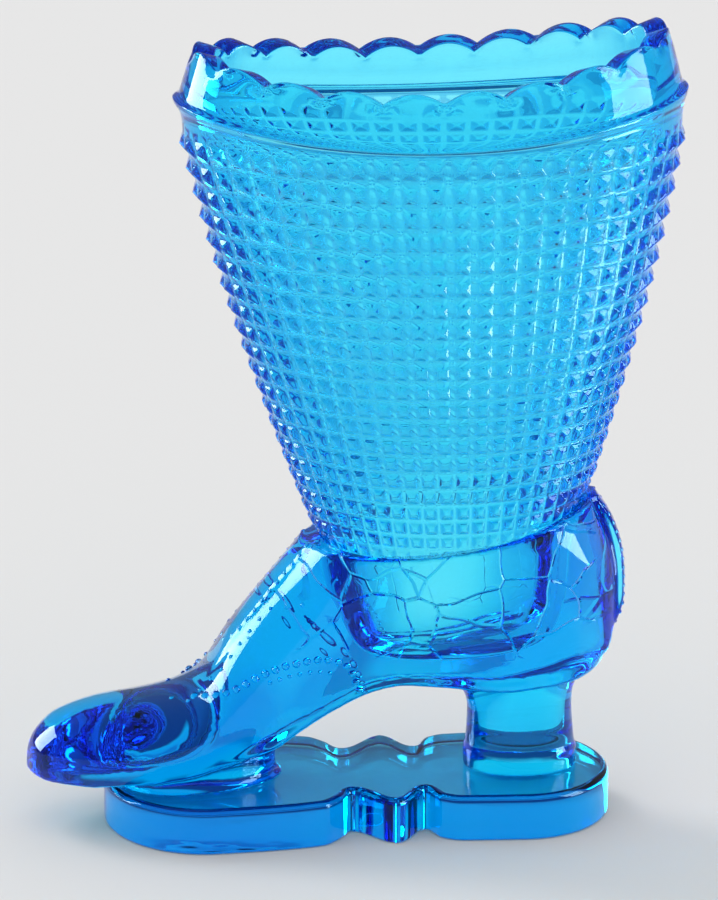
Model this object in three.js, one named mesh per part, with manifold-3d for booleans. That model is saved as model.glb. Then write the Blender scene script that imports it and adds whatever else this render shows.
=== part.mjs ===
// Glass boot for a bouquet, in millimetres, +Z up, toe towards -X, standing on its base plate.
// The real boot is one pressing of glass. Each mesh here is one moulded region of that pressing,
// and regions that meet on a curved surface keep regionGap between them.

import * as THREE from 'three';
import { mergeVertices } from 'three/addons/utils/BufferGeometryUtils.js';
import Module from 'manifold-3d';

const wasm = await Module();
wasm.setup();

// Overall sizes
const bootHeight = 129.1; // table to the highest scallops, beside the back of the mouth
const bootLength = 105.4; // toe tip to the ridge at the back of the mouth
const regionGap = 0.3;

// Mouth: a sharp ridge, a collar that leans inwards above it, and a scalloped rim
const ridgeHalfLength = 40.45;
const ridgeHalfWidth = 24.9;
const collarHeight = 8.8; // ridge to the scallops' crests, both at their mean height
const collarLean = 3.2; // how far the rim stands inside the ridge
const rimHeight = 3.6;
const rimWall = 3.4;
const rimFall = 0.9; // the top face slopes down to the inside
const scallopCount = 20;
const scallopDepth = 1.75;
const rimSaddle = 2.4; // front and back stand this much above the mean, the sides below it
const rimTilt = 1.3; // the back stands this much above the mean, the front below it
const ridgeSaddle = 2.15;
const ridgeTilt = 0.4;

// Leg: an oval tube with a grid of square pyramids on its outside
const fieldDrop = 3.25; // mean height of the ridge to the level top of the pyramid field
const fluteDepth = 1.15; // the ridge stands this much outside the foot of the pyramids
const ankleHalfLength = 19.95;
const ankleHalfWidth = 16.4;
const legBow = 5.8;
const legSideBow = 1.5;
const columnCount = 50;
const pyramidHeight = 0.95;
const fieldBacking = 0.6; // glass under the pyramids that belongs to the field
const legWall = 2.2;
const legLean = 0.3; // the top of the leg stands this much behind the middle of the ridge
const seamFrontHeight = 46.6; // where the front of the leg meets the shoe
const seamRise = 6.6; // the seam climbs this much to the back

// Shoe
const heelTuck = 10.1; // the ridge overhangs the back of the shoe by this much
const ankleInset = 7.85; // back of the shoe to the back of the leg, at the seam
const ankleLedge = 0.6; // the shoe stands this much outside the leg at its sides
const toeSoleHeight = 8.0;
const archRise = 15.7; // waist of the sole above the toe
const soleThickness = 1.8;
const soleTuck = 2.0; // the shoe's back overhangs the sole
const soleEdge = 0.35; // the sole stands this much outside the upper
const ballHalfWidth = 13.2;
const cavityFloor = 3.2; // glass between the sole and the cavity
const strapHalfWidth = 3.0;
const strapProud = 1.2;
const placketHalfWidth = 4.6;
const placketProud = 0.5;
const inlayDepth = 1.0; // how deep the strap and the placket run into the shoe
const strapFootHeight = 31.4;
const placketLift = 1.2; // the placket starts this much above the shoe's own floor

// Pad, heel and base plate
const plateThickness = 7.4;
const plateBevel = 1.2;
const plateFootTrim = 0.6; // what the flat base cuts from the lower bevel
const toeLobeHalfWidth = 19.0;
const heelLobeHalfWidth = 16.5;
const waistHalfWidth = 10.4;
const bumpHalfWidth = 16.3;
const plateToeInset = 12.4; // toe tip to the front of the plate
const plateHeelInset = 11.3; // ridge back to the back of the plate
const padHalfWidth = 12.4;
const padLength = 29;
const padFront = 12.7; // toe tip to the front of the pad
const padFillet = 0.9;
const heelHalfLength = 9.2;
const heelHalfWidth = 7.4;
const heelInset = 25.7; // ridge back to the middle of the heel
const heelBandHeight = 3.5;

// Places that follow from the sizes
const toeX = -bootLength / 2;
const ridgeBackX = bootLength / 2;
const footBackX = ridgeBackX - heelTuck;
const footLength = footBackX - toeX;
const mouthX = ridgeBackX - ridgeHalfLength;
const ankleX = footBackX - ankleInset - ankleHalfLength;
const halfScallop = Math.PI / scallopCount; // the highest crests stand this far from the back
const rimZ = bootHeight - rimSaddle * Math.cos(2 * halfScallop) - rimTilt * Math.cos(halfScallop);
const ridgeZ = rimZ - collarHeight;
const fieldTopZ = ridgeZ - fieldDrop;
const wallDepth = fieldBacking + regionGap + legWall;
const seamFrontX = ankleX - ankleHalfLength;
const seamLength = 2 * ankleHalfLength + 3;
const instepRise = seamFrontHeight - toeSoleHeight;
const soleBackX = footBackX - soleTuck;
const soleLength = soleBackX - toeX;

// Colours of the glass where it is thin and where it is thick
const glass = {
  thin: 0x41d3fc,
  wall: 0x60dbf9,
  shoe: 0x0ca1ef,
  thick: 0x0b82dc,
  rim: 0x194584,
};

const group = new THREE.Group();

function addRegion(name, solid, colour) {
  const material = new THREE.MeshStandardMaterial({ color: colour, roughness: 0.06, metalness: 0 });
  const mesh = new THREE.Mesh(solid, material);
  mesh.name = name;
  group.add(mesh);
}

// Closed mesh helpers

function meshFrom(points, triangles) {
  const geometry = new THREE.BufferGeometry();
  const flat = points.flatMap((p) => [p.x, p.y, p.z]);
  geometry.setAttribute('position', new THREE.Float32BufferAttribute(flat, 3));
  geometry.setIndex(triangles.flat());
  return outward(geometry);
}

// Turns a closed mesh so that its faces point out
function outward(geometry) {
  const place = geometry.getAttribute('position');
  const index = geometry.getIndex();
  const corner = [new THREE.Vector3(), new THREE.Vector3(), new THREE.Vector3()];
  let volume = 0;
  for (let i = 0; i < index.count; i += 3) {
    corner.forEach((c, k) => c.fromBufferAttribute(place, index.getX(i + k)));
    volume += corner[0].dot(corner[1].clone().cross(corner[2]));
  }
  if (volume < 0) {
    for (let i = 0; i < index.count; i += 3) {
      const second = index.getX(i + 1);
      index.setX(i + 1, index.getX(i + 2));
      index.setX(i + 2, second);
    }
  }
  return geometry;
}

function quad(a, b, c, d) {
  return [[a, b, c], [a, c, d]];
}

// Rings of equal length joined side by side, the last to the first, as for a tube's wall
function closedBand(rings) {
  const count = rings[0].length;
  const triangles = [];
  rings.forEach((ring, r) => {
    const next = (r + 1) % rings.length;
    for (let i = 0; i < count; i += 1) {
      const j = (i + 1) % count;
      triangles.push(...quad(r * count + i, r * count + j, next * count + j, next * count + i));
    }
  });
  return meshFrom(rings.flat(), triangles);
}

// Sections of equal length joined one after another, each end closed on a point of its own
function cappedLoft(sections, startPoint, endPoint) {
  const count = sections[0].length;
  const points = sections.flat();
  const triangles = [];
  for (let s = 0; s + 1 < sections.length; s += 1) {
    for (let i = 0; i < count; i += 1) {
      const j = (i + 1) % count;
      const a = s * count;
      const b = a + count;
      triangles.push(...quad(a + i, a + j, b + j, b + i));
    }
  }
  const start = points.push(startPoint) - 1;
  const end = points.push(endPoint) - 1;
  const last = (sections.length - 1) * count;
  for (let i = 0; i < count; i += 1) {
    const j = (i + 1) % count;
    triangles.push([start, j, i]);
    triangles.push([end, last + i, last + j]);
  }
  return meshFrom(points, triangles);
}

// Boolean helpers

function toManifold(geometry) {
  const bare = geometry.clone();
  bare.deleteAttribute('normal');
  bare.deleteAttribute('uv');
  const merged = mergeVertices(bare, 1e-4);
  return new wasm.Manifold(new wasm.Mesh({
    numProp: 3,
    vertProperties: new Float32Array(merged.getAttribute('position').array),
    triVerts: new Uint32Array(merged.getIndex().array),
  }));
}

function toGeometry(manifold) {
  const mesh = manifold.getMesh();
  const geometry = new THREE.BufferGeometry();
  geometry.setAttribute('position', new THREE.BufferAttribute(mesh.vertProperties, 3));
  geometry.setIndex(new THREE.BufferAttribute(mesh.triVerts, 1));
  return geometry;
}

function block(lowX, highX, halfY, lowZ, highZ) {
  const box = new THREE.BoxGeometry(highX - lowX, 2 * halfY, highZ - lowZ);
  box.translate((lowX + highX) / 2, 0, (lowZ + highZ) / 2);
  return toManifold(box);
}

// Curve helpers

// A smooth line through [place, value] pairs that never overshoots them
function profile(pairs) {
  const slopes = pairs.slice(1).map((p, i) => (p[1] - pairs[i][1]) / (p[0] - pairs[i][0]));
  const tangents = pairs.map((p, i) => {
    const before = slopes[Math.max(i - 1, 0)];
    const after = slopes[Math.min(i, slopes.length - 1)];
    return before * after <= 0 ? 0 : (2 * before * after) / (before + after);
  });
  return (place) => {
    const at = THREE.MathUtils.clamp(place, pairs[0][0], pairs[pairs.length - 1][0]);
    const k = Math.min(pairs.findLastIndex((p) => p[0] <= at), pairs.length - 2);
    const step = pairs[k + 1][0] - pairs[k][0];
    const t = (at - pairs[k][0]) / step;
    const s = 1 - t;
    return pairs[k][1] * (1 + 2 * t) * s * s + step * tangents[k] * t * s * s
      + pairs[k + 1][1] * (3 - 2 * t) * t * t - step * tangents[k + 1] * s * t * t;
  };
}

// Angles that divide an oval into arcs of equal length, the first a given part of one arc
// past the oval's back point
function equalArcs(halfLength, halfWidth, count, start) {
  const steps = 720;
  const reached = [0];
  for (let i = 0; i < steps; i += 1) {
    const angle = (2 * Math.PI * (i + 0.5)) / steps;
    const dx = halfLength * Math.sin(angle);
    const dy = halfWidth * Math.cos(angle);
    reached.push(reached[i] + Math.hypot(dx, dy));
  }
  const total = reached[steps];
  return Array.from({ length: count }, (unused, k) => {
    const target = (total * (k + start)) / count;
    const i = reached.findLastIndex((r) => r <= target);
    const part = (target - reached[i]) / (reached[i + 1] - reached[i]);
    return (2 * Math.PI * (i + part)) / steps;
  });
}

function ovalLength(halfLength, halfWidth) {
  const sum = halfLength + halfWidth;
  const root = Math.sqrt((3 * halfLength + halfWidth) * (halfLength + 3 * halfWidth));
  return Math.PI * (3 * sum - root);
}

// Leg and mouth

// The oval at the foot of the pyramids, at one height
function legOval(height) {
  const t = (height - seamFrontHeight) / (fieldTopZ - seamFrontHeight);
  const bulge = Math.max(0, t * (1 - t));
  return {
    x: THREE.MathUtils.lerp(ankleX, mouthX + legLean, t),
    a: THREE.MathUtils.lerp(ankleHalfLength, ridgeHalfLength - fluteDepth, t) + legBow * bulge,
    b: THREE.MathUtils.lerp(ankleHalfWidth, ridgeHalfWidth - fluteDepth, t) + legSideBow * bulge,
  };
}

function ovalRing(oval, height, inset, angles) {
  return angles.map((angle) => new THREE.Vector3(
    oval.x + (oval.a - inset) * Math.cos(angle),
    (oval.b - inset) * Math.sin(angle),
    height,
  ));
}

function legRing(height, inset) {
  const oval = legOval(height);
  return ovalRing(oval, height, inset, equalArcs(oval.a, oval.b, columnCount, 0.5));
}

// Row heights of the pyramid grid: each cell is as tall as it is wide
function rowHeights(bottom) {
  const rows = [fieldTopZ];
  while (rows[rows.length - 1] > bottom) {
    const height = rows[rows.length - 1];
    const oval = legOval(height);
    rows.push(height - ovalLength(oval.a, oval.b) / columnCount);
  }
  return rows;
}

// The curved surface on which the leg stands, as a block that fills everything below it
function belowSeam(lift) {
  const reach = 90;
  const steps = 12;
  const outline = new THREE.Shape();
  const seamX = (s) => seamFrontX + s * seamLength;
  const seamZ = (s) => seamFrontHeight + seamRise * Math.max(0, s) ** 2 + lift;
  outline.moveTo(seamFrontX - reach, seamZ(0));
  for (let i = 0; i <= steps; i += 1) {
    outline.lineTo(seamX(i / steps), seamZ(i / steps));
  }
  outline.lineTo(seamFrontX + reach, seamZ(1));
  outline.lineTo(seamFrontX + reach, -reach);
  outline.lineTo(seamFrontX - reach, -reach);
  const solid = new THREE.ExtrudeGeometry(outline, { depth: reach, bevelEnabled: false });
  solid.translate(0, 0, -reach / 2);
  solid.rotateX(Math.PI / 2);
  return toManifold(solid);
}

const aboveLegFoot = belowSeam(0);
const legBottom = seamFrontHeight - 2;
const fieldRows = rowHeights(legBottom);
const wallRows = fieldRows.filter((h, i) => i % 5 === 0 || i === fieldRows.length - 1);

function diamondField() {
  const outer = fieldRows.map((height) => legRing(height, 0));
  const inner = wallRows.map((height) => legRing(height, fieldBacking));
  const points = [...outer.flat(), ...inner.flat()];
  const triangles = [];
  const at = (row, column) => row * columnCount + (column % columnCount);
  for (let r = 0; r + 1 < outer.length; r += 1) {
    for (let c = 0; c < columnCount; c += 1) {
      const ring = [at(r, c), at(r, c + 1), at(r + 1, c + 1), at(r + 1, c)];
      const tip = points.push(pyramidTip(ring.map((i) => points[i]))) - 1;
      ring.forEach((corner, i) => triangles.push([corner, ring[(i + 1) % 4], tip]));
    }
  }
  const firstInner = outer.length;
  for (let r = 0; r + 1 < inner.length; r += 1) {
    for (let c = 0; c < columnCount; c += 1) {
      const row = firstInner + r;
      triangles.push(...quad(at(row, c + 1), at(row, c), at(row + 1, c), at(row + 1, c + 1)));
    }
  }
  const lastOuter = outer.length - 1;
  const lastInner = firstInner + inner.length - 1;
  for (let c = 0; c < columnCount; c += 1) {
    triangles.push(...quad(at(0, c + 1), at(0, c), at(firstInner, c), at(firstInner, c + 1)));
    triangles.push(...quad(at(lastOuter, c), at(lastOuter, c + 1), at(lastInner, c + 1), at(lastInner, c)));
  }
  return toGeometry(toManifold(meshFrom(points, triangles)).subtract(aboveLegFoot));
}

function pyramidTip(corners) {
  const middle = new THREE.Vector3();
  corners.forEach((corner) => middle.addScaledVector(corner, 1 / corners.length));
  const across = corners[1].clone().sub(corners[3]);
  const down = corners[2].clone().sub(corners[0]);
  const normal = across.cross(down).normalize();
  const away = Math.sign(normal.x * (middle.x - mouthX) + normal.y * middle.y);
  return middle.addScaledVector(normal, away * pyramidHeight);
}

function legTube() {
  const outer = wallRows.map((height) => legRing(height, fieldBacking + regionGap));
  const inner = wallRows.map((height) => legRing(height, wallDepth)).reverse();
  return toGeometry(toManifold(closedBand([...outer, ...inner])).subtract(aboveLegFoot));
}

// One ring of the collar or the rim, drop below the rim and inset from the ridge
function mouthRing(drop, inset, angles) {
  const share = drop / collarHeight;
  const saddle = THREE.MathUtils.lerp(rimSaddle, ridgeSaddle, share);
  const tilt = THREE.MathUtils.lerp(rimTilt, ridgeTilt, share);
  const oval = { x: mouthX, a: ridgeHalfLength, b: ridgeHalfWidth };
  const ring = ovalRing(oval, rimZ - drop, inset, angles);
  ring.forEach((point, i) => {
    point.z += saddle * Math.cos(2 * angles[i]) + tilt * Math.cos(angles[i]);
  });
  return ring;
}

// A ring part of the way down from the ridge to the foot of the flute
function fluteRing(down, inwards) {
  const foot = ovalRing(legOval(fieldTopZ), fieldTopZ + regionGap, 0, ridgeAngles);
  return mouthRing(collarHeight, 0, ridgeAngles).map((point, i) => new THREE.Vector3(
    THREE.MathUtils.lerp(point.x, foot[i].x, inwards),
    THREE.MathUtils.lerp(point.y, foot[i].y, inwards),
    THREE.MathUtils.lerp(point.z, foot[i].z, down),
  ));
}

const ridgeAngles = equalArcs(ridgeHalfLength, ridgeHalfWidth, columnCount, 0);
const rimFoot = rimHeight + regionGap;
const rimFootInset = 0.7 * collarLean;

function collar() {
  const middleInset = (fluteDepth + wallDepth + collarLean + rimWall) / 2;
  return closedBand([
    mouthRing(rimFoot, rimFootInset, ridgeAngles),
    mouthRing(collarHeight - 2.7, 0.47 * collarLean, ridgeAngles),
    mouthRing(collarHeight - 1.3, 0.34 * collarLean, ridgeAngles),
    mouthRing(collarHeight - 0.5, 0.2 * collarLean, ridgeAngles),
    mouthRing(collarHeight, 0, ridgeAngles),
    fluteRing(0.15, 0.15),
    fluteRing(0.5, 0.8),
    fluteRing(1, 1),
    ovalRing(legOval(fieldTopZ), fieldTopZ + regionGap, wallDepth, ridgeAngles),
    mouthRing(collarHeight - 0.5, middleInset, ridgeAngles),
    mouthRing(rimFoot, rimFootInset + rimWall, ridgeAngles),
  ]);
}

function scallopedRim() {
  const stepsPerScallop = 5;
  const angles = equalArcs(ridgeHalfLength, ridgeHalfWidth, scallopCount * stepsPerScallop, 0);
  const section = [
    [rimHeight, rimFootInset, 0],
    [0.2, collarLean, 1],
    [0, collarLean + 0.3, 1],
    [rimFall, collarLean + rimWall, 1],
    [rimHeight, rimFootInset + rimWall, 0],
  ];
  const rings = section.map(([drop, inset, waves]) => {
    const ring = mouthRing(drop, inset, angles);
    ring.forEach((point, i) => {
      const across = (2 * (i % stepsPerScallop)) / stepsPerScallop - 1;
      point.z -= waves * scallopDepth * across * across;
    });
    return ring;
  });
  return closedBand(rings);
}

// Shoe

// Shares along the foot, from the toe tip at 0 to the back of the shoe at 1
const soleWidthShare = profile([
  [0, 0], [0.01, 0.27], [0.03, 0.46], [0.06, 0.64], [0.1, 0.8], [0.15, 0.925], [0.21, 0.995],
  [0.27, 1], [0.33, 0.95], [0.42, 0.8], [0.5, 0.68], [0.57, 0.62], [0.64, 0.61], [0.71, 0.66],
  [0.78, 0.77], [0.85, 0.85], [0.9, 0.84], [0.94, 0.75], [0.97, 0.58], [0.99, 0.34], [1, 0],
]);
const soleRiseShare = profile([
  [0, 0.06], [0.04, 0.01], [0.1, 0.01], [0.16, 0.04], [0.21, 0.08], [0.265, 0.13], [0.32, 0.22],
  [0.365, 0.285], [0.42, 0.39], [0.46, 0.54], [0.53, 0.775], [0.6, 0.95], [0.64, 0.99], [0.72, 0.97],
  [0.8, 0.93], [0.88, 0.98], [0.92, 1.05], [0.96, 1.21], [1, 1.45],
]);
const topShare = profile([
  [0, 0.093], [0.005, 0.14], [0.019, 0.197], [0.05, 0.262], [0.126, 0.316], [0.193, 0.335],
  [0.243, 0.363], [0.273, 0.395], [0.295, 0.435], [0.313, 0.49], [0.337, 0.585], [0.3625, 0.67],
  [0.405, 0.805], [0.464, 0.984], [0.52, 1.19],
  [0.6, 1.4], [0.75, 1.5], [0.88, 1.43], [0.961, 1.145], [0.987, 1.01], [0.997, 0.93], [1, 0.86],
]);
const backLiftShare = profile([[0.93, 0], [0.975, 0.03], [0.99, 0.3], [0.997, 0.6], [1, 1]]);
const widestShare = profile([
  [0, 0.4], [0.3, 0.38], [0.42, 0.42], [0.5, 0.5], [0.56, 0.58], [0.66, 0.62], [0.8, 0.64],
  [0.9, 0.6], [0.96, 0.55], [1, 0.5],
]);
const ankleWidthShare = profile([
  [0.3, 0.76], [0.42, 0.68], [0.47, 0.695], [0.52, 0.74], [0.56, 0.81], [0.6, 0.9], [0.66, 0.975],
  [0.71, 1], [0.78, 0.965], [0.85, 0.85], [0.9, 0.705], [0.94, 0.54], [0.97, 0.375], [0.99, 0.21],
  [1, 0],
]);

function soleUnderside(x) {
  return toeSoleHeight + archRise * soleRiseShare((x - toeX) / soleLength);
}

function footX(u) {
  return toeX + footLength * u;
}

// The closed outline of the upper in one plane across the foot, grown outwards all round
function upperSection(u, grow) {
  const x = footX(u);
  const top = toeSoleHeight + instepRise * topShare(u);
  const onSole = soleUnderside(x) + soleThickness + regionGap;
  const bottom = Math.min(top, THREE.MathUtils.lerp(onSole, top, backLiftShare(u)));
  const widest = THREE.MathUtils.lerp(bottom, top, widestShare(u));
  const foot = ballHalfWidth * soleWidthShare(u);
  const ankle = (ankleHalfWidth + ankleLedge) * ankleWidthShare(u);
  const side = THREE.MathUtils.lerp(1.03 * foot, ankle, THREE.MathUtils.smoothstep(u, 0.34, 0.46));
  const half = [];
  const lowSteps = 5;
  const highSteps = 7;
  for (let i = 0; i <= lowSteps; i += 1) {
    const t = i / lowSteps;
    const width = THREE.MathUtils.lerp(Math.min(foot, side), side, Math.sin((t * Math.PI) / 2));
    half.push([width + grow, THREE.MathUtils.lerp(bottom - grow, widest, t)]);
  }
  for (let i = 1; i <= highSteps; i += 1) {
    const angle = (i / highSteps) * (Math.PI / 2);
    half.push([(side + grow) * Math.cos(angle), widest + (top + grow - widest) * Math.sin(angle)]);
  }
  half[half.length - 1][0] = 0;
  const across = x + (2 * u - 1) * grow;
  const right = half.map(([y, z]) => new THREE.Vector3(across, y, z));
  const left = half.slice(0, -1).reverse().map(([y, z]) => new THREE.Vector3(across, -y, z));
  return [...right, ...left];
}

// Places along the foot, closer together at the toe and at the back
function stations(count) {
  return Array.from({ length: count }, (unused, i) => {
    const t = (i + 1) / (count + 1);
    return 0.5 - 0.5 * Math.cos(Math.PI * t);
  });
}

function upper(grow) {
  const sections = stations(36).map((u) => upperSection(u, grow));
  const toeTip = new THREE.Vector3(toeX - grow, 0, toeSoleHeight + instepRise * topShare(0));
  const backTip = new THREE.Vector3(footBackX + grow, 0, toeSoleHeight + instepRise * topShare(1));
  return toManifold(cappedLoft(sections, toeTip, backTip));
}

function soleSection(u, grow) {
  const x = toeX + soleLength * u;
  const half = ballHalfWidth * soleWidthShare(u) + soleEdge + grow;
  const low = soleUnderside(x) - grow;
  const high = soleUnderside(x) + soleThickness + grow;
  const edge = 0.25 * soleThickness;
  const corners = [[0, low], [half - edge, low], [half, low + edge], [half, high], [0, high]];
  const mirrored = corners.slice(1, -1).reverse().map(([y, z]) => [-y, z]);
  return [...corners, ...mirrored].map(([y, z]) => new THREE.Vector3(x, y, z));
}

function sole(grow) {
  const sections = stations(32).map((u) => soleSection(u, grow));
  const tip = (u) => new THREE.Vector3(
    toeX + soleLength * u + Math.sign(u - 0.5) * grow,
    0,
    soleUnderside(toeX + soleLength * u) + soleThickness / 2,
  );
  return toManifold(cappedLoft(sections, tip(0), tip(1)));
}

// The hollow inside the shoe, down from the leg to a rounded floor
function shoeCavity() {
  const floorZ = toeSoleHeight + archRise + soleThickness + cavityFloor;
  const topZ = seamFrontHeight + seamRise + 4;
  const steps = 9;
  const sides = 32;
  const lengthShare = profile([[0, 0.6], [0.15, 0.8], [0.4, 0.93], [0.75, 1], [1, 1]]);
  const widthShare = profile([[0, 0.28], [0.15, 0.47], [0.4, 0.72], [0.75, 0.95], [1, 1]]);
  const rings = Array.from({ length: steps + 1 }, (unused, i) => {
    const t = i / steps;
    const height = THREE.MathUtils.lerp(floorZ, topZ, t);
    const oval = legOval(Math.max(height, seamFrontHeight));
    const a = (oval.a - wallDepth) * lengthShare(t);
    const b = (oval.b - wallDepth) * widthShare(t);
    return Array.from({ length: sides }, (none, k) => {
      const angle = (2 * Math.PI * k) / sides;
      return new THREE.Vector3(oval.x + a * Math.cos(angle), b * Math.sin(angle), height);
    });
  });
  const floor = new THREE.Vector3(ankleX, 0, floorZ - 0.4);
  return toManifold(cappedLoft(rings, floor, new THREE.Vector3(ankleX, 0, topZ)));
}

const splitX = seamFrontX - 3.4; // vamp in front of this plane, quarter behind it
const far = 2 * bootLength;
const upperSolid = upper(0);
const belowLegFoot = belowSeam(-regionGap);

// A strip of the shoe's own surface: proud outside it and inlaid inside it
function surfaceStrip(proud, depth, halfWidth, lowX, highX, lowZ) {
  const shell = upper(proud).subtract(upper(-depth));
  return shell.intersect(block(lowX, highX, halfWidth, lowZ, far));
}

const placketFrontX = footX(0.215);
const placketBackX = splitX - 1;
const placketFootZ = soleUnderside(placketBackX) + soleThickness + regionGap + inlayDepth + placketLift;

function placketStrip(clear) {
  return surfaceStrip(
    placketProud + clear,
    inlayDepth + clear,
    placketHalfWidth + clear,
    placketFrontX - clear,
    placketBackX + clear,
    placketFootZ - clear,
  );
}

function strapStrip(clear) {
  const strip = surfaceStrip(
    strapProud + clear,
    inlayDepth + clear,
    strapHalfWidth + clear,
    ankleX + ankleHalfLength - clear,
    far,
    strapFootHeight - clear,
  );
  return strip.intersect(belowSeam(clear - regionGap)).subtract(sole(regionGap - clear));
}

function vamp() {
  const front = upperSolid.intersect(block(-far, splitX, far, -far, far));
  return toGeometry(front.subtract(placketStrip(regionGap)));
}

function quarter() {
  const back = upperSolid.intersect(block(splitX, far, far, -far, far)).intersect(belowLegFoot);
  return toGeometry(back.subtract(shoeCavity()).subtract(strapStrip(regionGap)));
}

// Pad and heel, between the base plate and the sole

function ovalColumn(centreX, levels) {
  const sides = 32;
  const rings = levels.map(([z, front, back, half]) => Array.from({ length: sides }, (unused, i) => {
    const angle = (2 * Math.PI * i) / sides;
    const reach = Math.cos(angle) > 0 ? back : front;
    return new THREE.Vector3(centreX + reach * Math.cos(angle), half * Math.sin(angle), z);
  }));
  const first = levels[0];
  const last = levels[levels.length - 1];
  return toManifold(cappedLoft(
    rings,
    new THREE.Vector3(centreX, 0, first[0]),
    new THREE.Vector3(centreX, 0, last[0]),
  ));
}

const clearOfSole = sole(regionGap);
const aboveSole = upper(soleThickness);

function ballPad() {
  const widestX = toeX + padFront + 0.36 * padLength;
  const front = 0.36 * padLength;
  const back = 0.64 * padLength;
  const top = toeSoleHeight + 0.55 * archRise;
  const column = ovalColumn(widestX, [
    [plateThickness, front, back, padHalfWidth],
    [plateThickness + 0.4 * padFillet, front - 0.6 * padFillet, back - 0.6 * padFillet, padHalfWidth - 0.6 * padFillet],
    [plateThickness + padFillet, front - padFillet, back - padFillet, padHalfWidth - padFillet],
    [top, front - padFillet, back - padFillet, padHalfWidth - padFillet],
  ]);
  return toGeometry(column.subtract(clearOfSole).subtract(aboveSole));
}

function heelBlock() {
  const x = ridgeBackX - heelInset;
  const bandTop = plateThickness + heelBandHeight;
  const underSole = toeSoleHeight + 0.93 * archRise;
  const at = (share) => THREE.MathUtils.lerp(bandTop, underSole, share);
  const column = ovalColumn(x, [
    [plateThickness, heelHalfLength, heelHalfLength, heelHalfWidth],
    [bandTop, heelHalfLength, heelHalfLength, heelHalfWidth],
    [at(0.3), 0.97 * heelHalfLength, 0.97 * heelHalfLength, 0.97 * heelHalfWidth],
    [at(0.6), 0.96 * heelHalfLength, 0.94 * heelHalfLength, 0.97 * heelHalfWidth],
    [at(0.8), 1.05 * heelHalfLength, 0.96 * heelHalfLength, 1.02 * heelHalfWidth],
    [at(0.95), 1.28 * heelHalfLength, 1.04 * heelHalfLength, 1.1 * heelHalfWidth],
    [at(1.15), 1.8 * heelHalfLength, 1.15 * heelHalfLength, 1.15 * heelHalfWidth],
  ]);
  return toGeometry(column.subtract(clearOfSole).subtract(aboveSole));
}

// Base plate: two lobes joined at a waist, with a pointed bump in each side of the waist

function plateOutline() {
  const front = toeX + plateToeInset;
  const back = ridgeBackX - plateHeelInset;
  const length = back - front;
  const x = (share) => front + share * length;
  const toeLobeX = x(0.2);
  const heelLobeX = x(0.82);
  const outline = new THREE.Shape();
  const side = (sign) => {
    const points = [
      [x(0.42), 0.87 * toeLobeHalfWidth],
      [x(0.455), 0.72 * toeLobeHalfWidth],
      [x(0.48), waistHalfWidth],
      [x(0.55), 0.98 * bumpHalfWidth],
      [x(0.562), bumpHalfWidth],
      [x(0.574), 0.98 * bumpHalfWidth],
      [x(0.625), waistHalfWidth],
      [x(0.65), 0.87 * heelLobeHalfWidth],
      [x(0.69), 0.97 * heelLobeHalfWidth],
    ];
    return points.map(([px, py]) => new THREE.Vector2(px, sign * py));
  };
  outline.moveTo(toeLobeX, -toeLobeHalfWidth);
  side(-1).forEach((p) => outline.lineTo(p.x, p.y));
  outline.lineTo(heelLobeX, -heelLobeHalfWidth);
  outline.absellipse(heelLobeX, 0, back - heelLobeX, heelLobeHalfWidth, -Math.PI / 2, Math.PI / 2);
  side(1).reverse().forEach((p) => outline.lineTo(p.x, p.y));
  outline.lineTo(toeLobeX, toeLobeHalfWidth);
  outline.absellipse(toeLobeX, 0, toeLobeX - front, toeLobeHalfWidth, Math.PI / 2, 1.5 * Math.PI);
  return outline;
}

function basePlate() {
  const bevelled = new THREE.ExtrudeGeometry(plateOutline(), {
    depth: plateThickness + plateFootTrim - 2 * plateBevel,
    curveSegments: 14,
    bevelEnabled: true,
    bevelThickness: plateBevel,
    bevelSize: plateBevel,
    bevelOffset: -plateBevel,
    bevelSegments: 2,
  });
  bevelled.translate(0, 0, plateBevel - plateFootTrim);
  return toGeometry(toManifold(bevelled).intersect(block(-far, far, far, 0, far)));
}

addRegion('base_plate', basePlate(), glass.thick);
addRegion('ball_pad', ballPad(), glass.thick);
addRegion('heel_block', heelBlock(), glass.thin);
addRegion('sole', toGeometry(sole(0)), glass.thick);
addRegion('vamp', vamp(), glass.shoe);
addRegion('quarter', quarter(), glass.shoe);
addRegion('instep_placket', toGeometry(placketStrip(0)), glass.shoe);
addRegion('back_strap', toGeometry(strapStrip(0)), glass.shoe);
addRegion('leg_wall', legTube(), glass.wall);
addRegion('diamond_field', diamondField(), glass.thin);
addRegion('collar', collar(), glass.wall);
addRegion('scalloped_rim', scallopedRim(), glass.rim);

export default group;
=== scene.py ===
import math
import bpy
import bmesh
import numpy as np
from mathutils import Matrix, Vector
from mathutils.bvhtree import BVHTree


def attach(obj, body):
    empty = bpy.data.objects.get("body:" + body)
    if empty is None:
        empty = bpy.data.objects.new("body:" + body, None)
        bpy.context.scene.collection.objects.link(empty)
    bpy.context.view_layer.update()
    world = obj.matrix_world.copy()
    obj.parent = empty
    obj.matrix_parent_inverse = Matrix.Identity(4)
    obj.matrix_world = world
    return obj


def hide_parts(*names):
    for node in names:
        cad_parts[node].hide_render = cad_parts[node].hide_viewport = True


# All shapes are worked out in millimetres and brought to metres at the end of each piece.

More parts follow.
